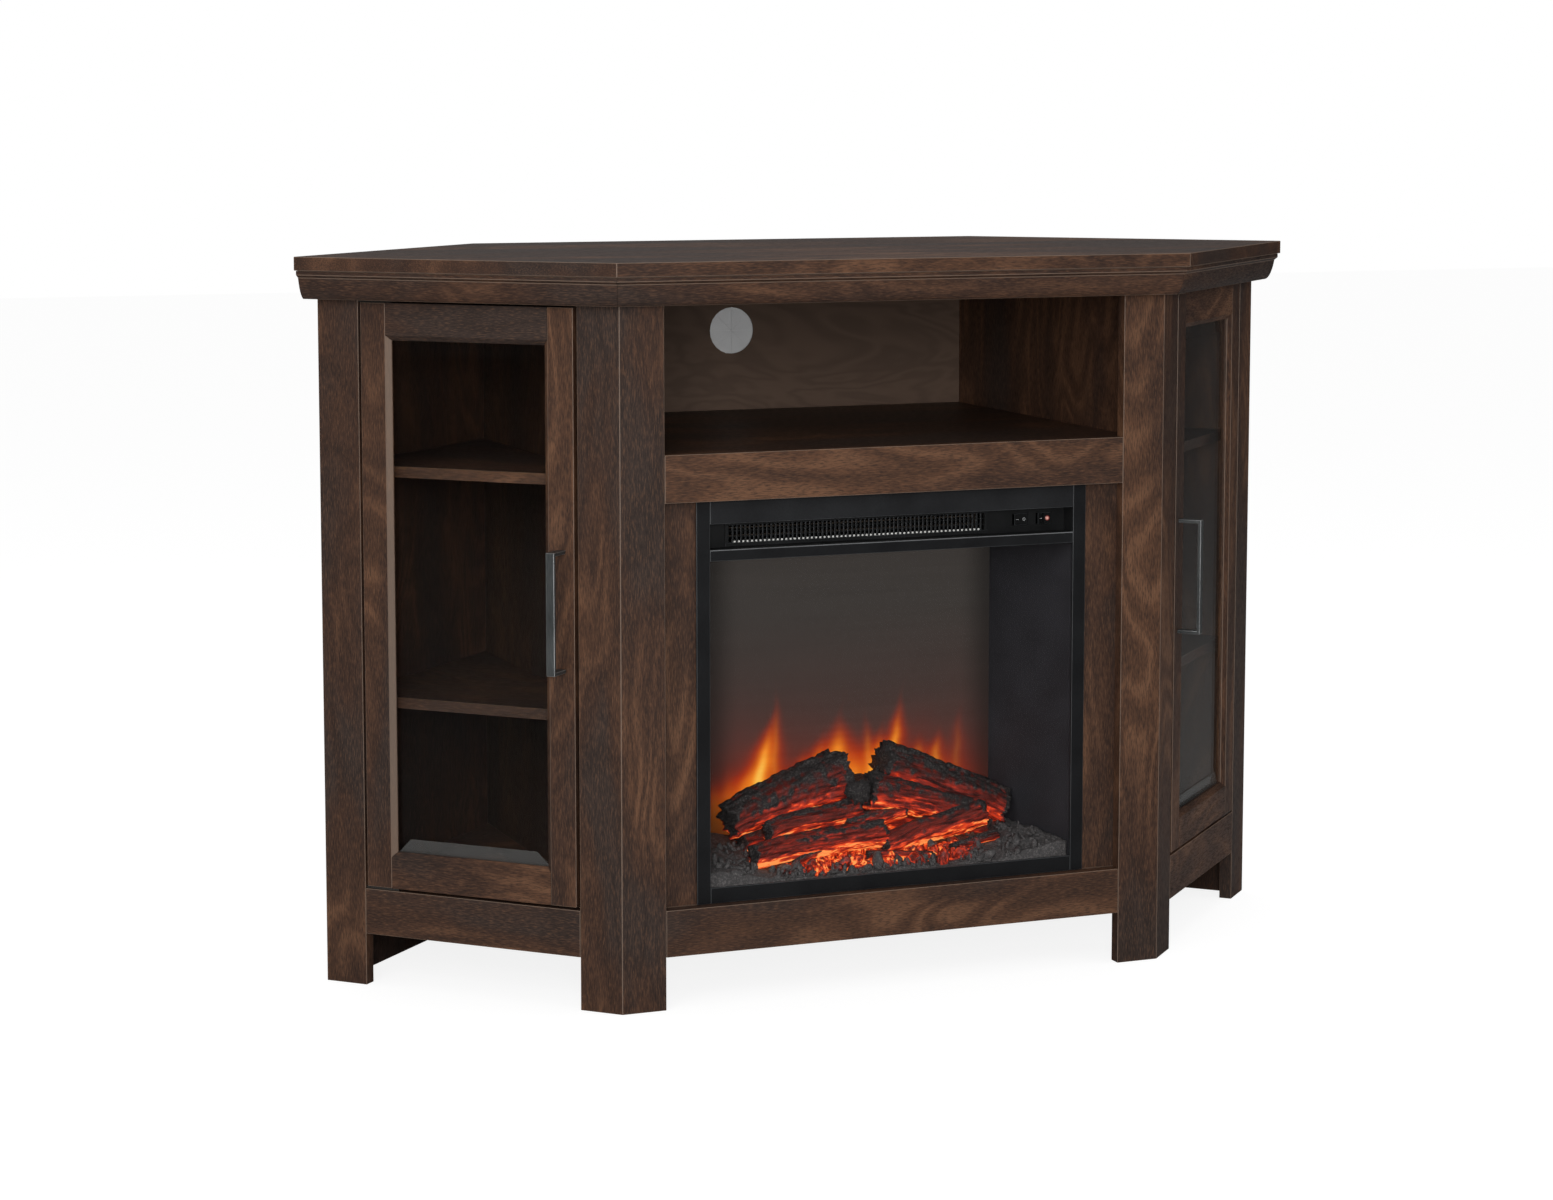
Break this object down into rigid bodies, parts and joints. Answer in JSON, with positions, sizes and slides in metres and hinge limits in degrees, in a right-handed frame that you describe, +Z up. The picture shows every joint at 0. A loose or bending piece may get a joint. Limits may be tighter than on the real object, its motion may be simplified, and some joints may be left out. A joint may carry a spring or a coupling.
{
  "type": "corner fireplace cabinet",
  "caption": "Five-sided corner media cabinet in dark walnut laminate with an electric fireplace insert, an open bay and two glazed doors on angled wings.",
  "frame": {"origin": "on the floor under the middle of the top slab's bounding box", "axes": "+X to the right of someone facing the fire, +Y towards the corner of the room, +Z up"},
  "size_m": [1.2202, 0.5588, 0.806],
  "materials": {
    "walnut_laminate": "dark walnut laminate, satin",
    "hardboard": "brown hardboard, matt",
    "clear_glass": "clear float glass, door panes with a ground bevel",
    "black_steel": "black powder-coated steel, satin",
    "black_plastic": "black moulded plastic, fine satin",
    "gunmetal": "dark gunmetal lacquer, satin",
    "bright_steel": "zinc-plated steel",
    "smoked_screen": "smoked, lightly frosted flame screen",
    "ember_resin": "translucent ember resin lit from below",
    "log_resin": "moulded resin logs, painted as charred bark",
    "heating_alloy": "bare heating ribbon on mica ends"
  },
  "bodies": {
    "cabinet": {"back_panel": "hardboard", "base_board": "walnut_laminate", "blower_motor": "black_steel", "bottom_rail": "walnut_laminate", "control_panel": "black_plastic", "ember_bed": "ember_resin", "firebox_housing": "black_steel", "flame_screen": "smoked_screen", "front_crown": "walnut_laminate", "heater_element": "heating_alloy", "insert_bezel": "black_steel", "lamp_board": "hardboard", "left_crown": "walnut_laminate", "left_divider": "walnut_laminate", "left_front_post": "walnut_laminate", "left_lower_pivot": "bright_steel", "left_lower_shelf": "walnut_laminate", "left_magnetic_catch": "black_plastic", "left_rear_post": "walnut_laminate", "left_surround_panel": "walnut_laminate", "left_upper_pivot": "bright_steel", "left_upper_shelf": "walnut_laminate", "left_wall_panel": "walnut_laminate", "left_wing_rail": "walnut_laminate", "log_set": "log_resin", "media_shelf": "walnut_laminate", "middle_rail": "walnut_laminate", "outlet_grille": "black_plastic", "right_crown": "walnut_laminate", "right_divider": "walnut_laminate", "right_front_post": "walnut_laminate", "right_lower_pivot": "bright_steel", "right_lower_shelf": "walnut_laminate", "right_magnetic_catch": "black_plastic", "right_rear_post": "walnut_laminate", "right_surround_panel": "walnut_laminate", "right_upper_pivot": "bright_steel", "right_upper_shelf": "walnut_laminate", "right_wall_panel": "walnut_laminate", "right_wing_rail": "walnut_laminate", "spindle_motor": "black_steel", "top_slab": "walnut_laminate", "window_glass": "clear_glass"},
    "left_door": {"left_latch_stile": "walnut_laminate", "left_hinge_stile": "walnut_laminate", "left_door_top_rail": "walnut_laminate", "left_door_bottom_rail": "walnut_laminate", "left_door_glass": "clear_glass", "left_door_handle": "gunmetal"},
    "right_door": {"right_latch_stile": "walnut_laminate", "right_hinge_stile": "walnut_laminate", "right_door_top_rail": "walnut_laminate", "right_door_bottom_rail": "walnut_laminate", "right_door_glass": "clear_glass", "right_door_handle": "gunmetal"},
    "power_rocker": {"power_rocker": "black_plastic"},
    "heater_rocker": {"heater_rocker": "black_plastic"},
    "flicker_spindle": {"flicker_spindle": "bright_steel"},
    "blower_rotor": {"blower_rotor": "black_plastic"}
  },
  "joints": [
    {"name": "left_door_hinge", "type": "hinge", "parent": "cabinet", "child": "left_door", "pos_m": [-0.52565, -0.03149, 0.43], "axis": [0, 0, -1], "range_deg": [0, 110]},
    {"name": "right_door_hinge", "type": "hinge", "parent": "cabinet", "child": "right_door", "pos_m": [0.52565, -0.03149, 0.43], "axis": [0, 0, 1], "range_deg": [0, 110]},
    {"name": "power_switch", "type": "hinge", "parent": "cabinet", "child": "power_rocker", "pos_m": [0.162, -0.20665, 0.509], "axis": [0, 0, -1], "range_deg": [0, 14]},
    {"name": "heater_switch", "type": "hinge", "parent": "cabinet", "child": "heater_rocker", "pos_m": [0.191, -0.20665, 0.509], "axis": [0, 0, -1], "range_deg": [0, 14]},
    {"name": "spindle_turn", "type": "hinge", "parent": "cabinet", "child": "flicker_spindle", "pos_m": [0, -0.08015, 0.1511], "axis": [1, 0, 0], "continuous": true},
    {"name": "blower_turn", "type": "hinge", "parent": "cabinet", "child": "blower_rotor", "pos_m": [-0.0425, -0.12715, 0.5174], "axis": [1, 0, 0], "continuous": true}
  ]
}
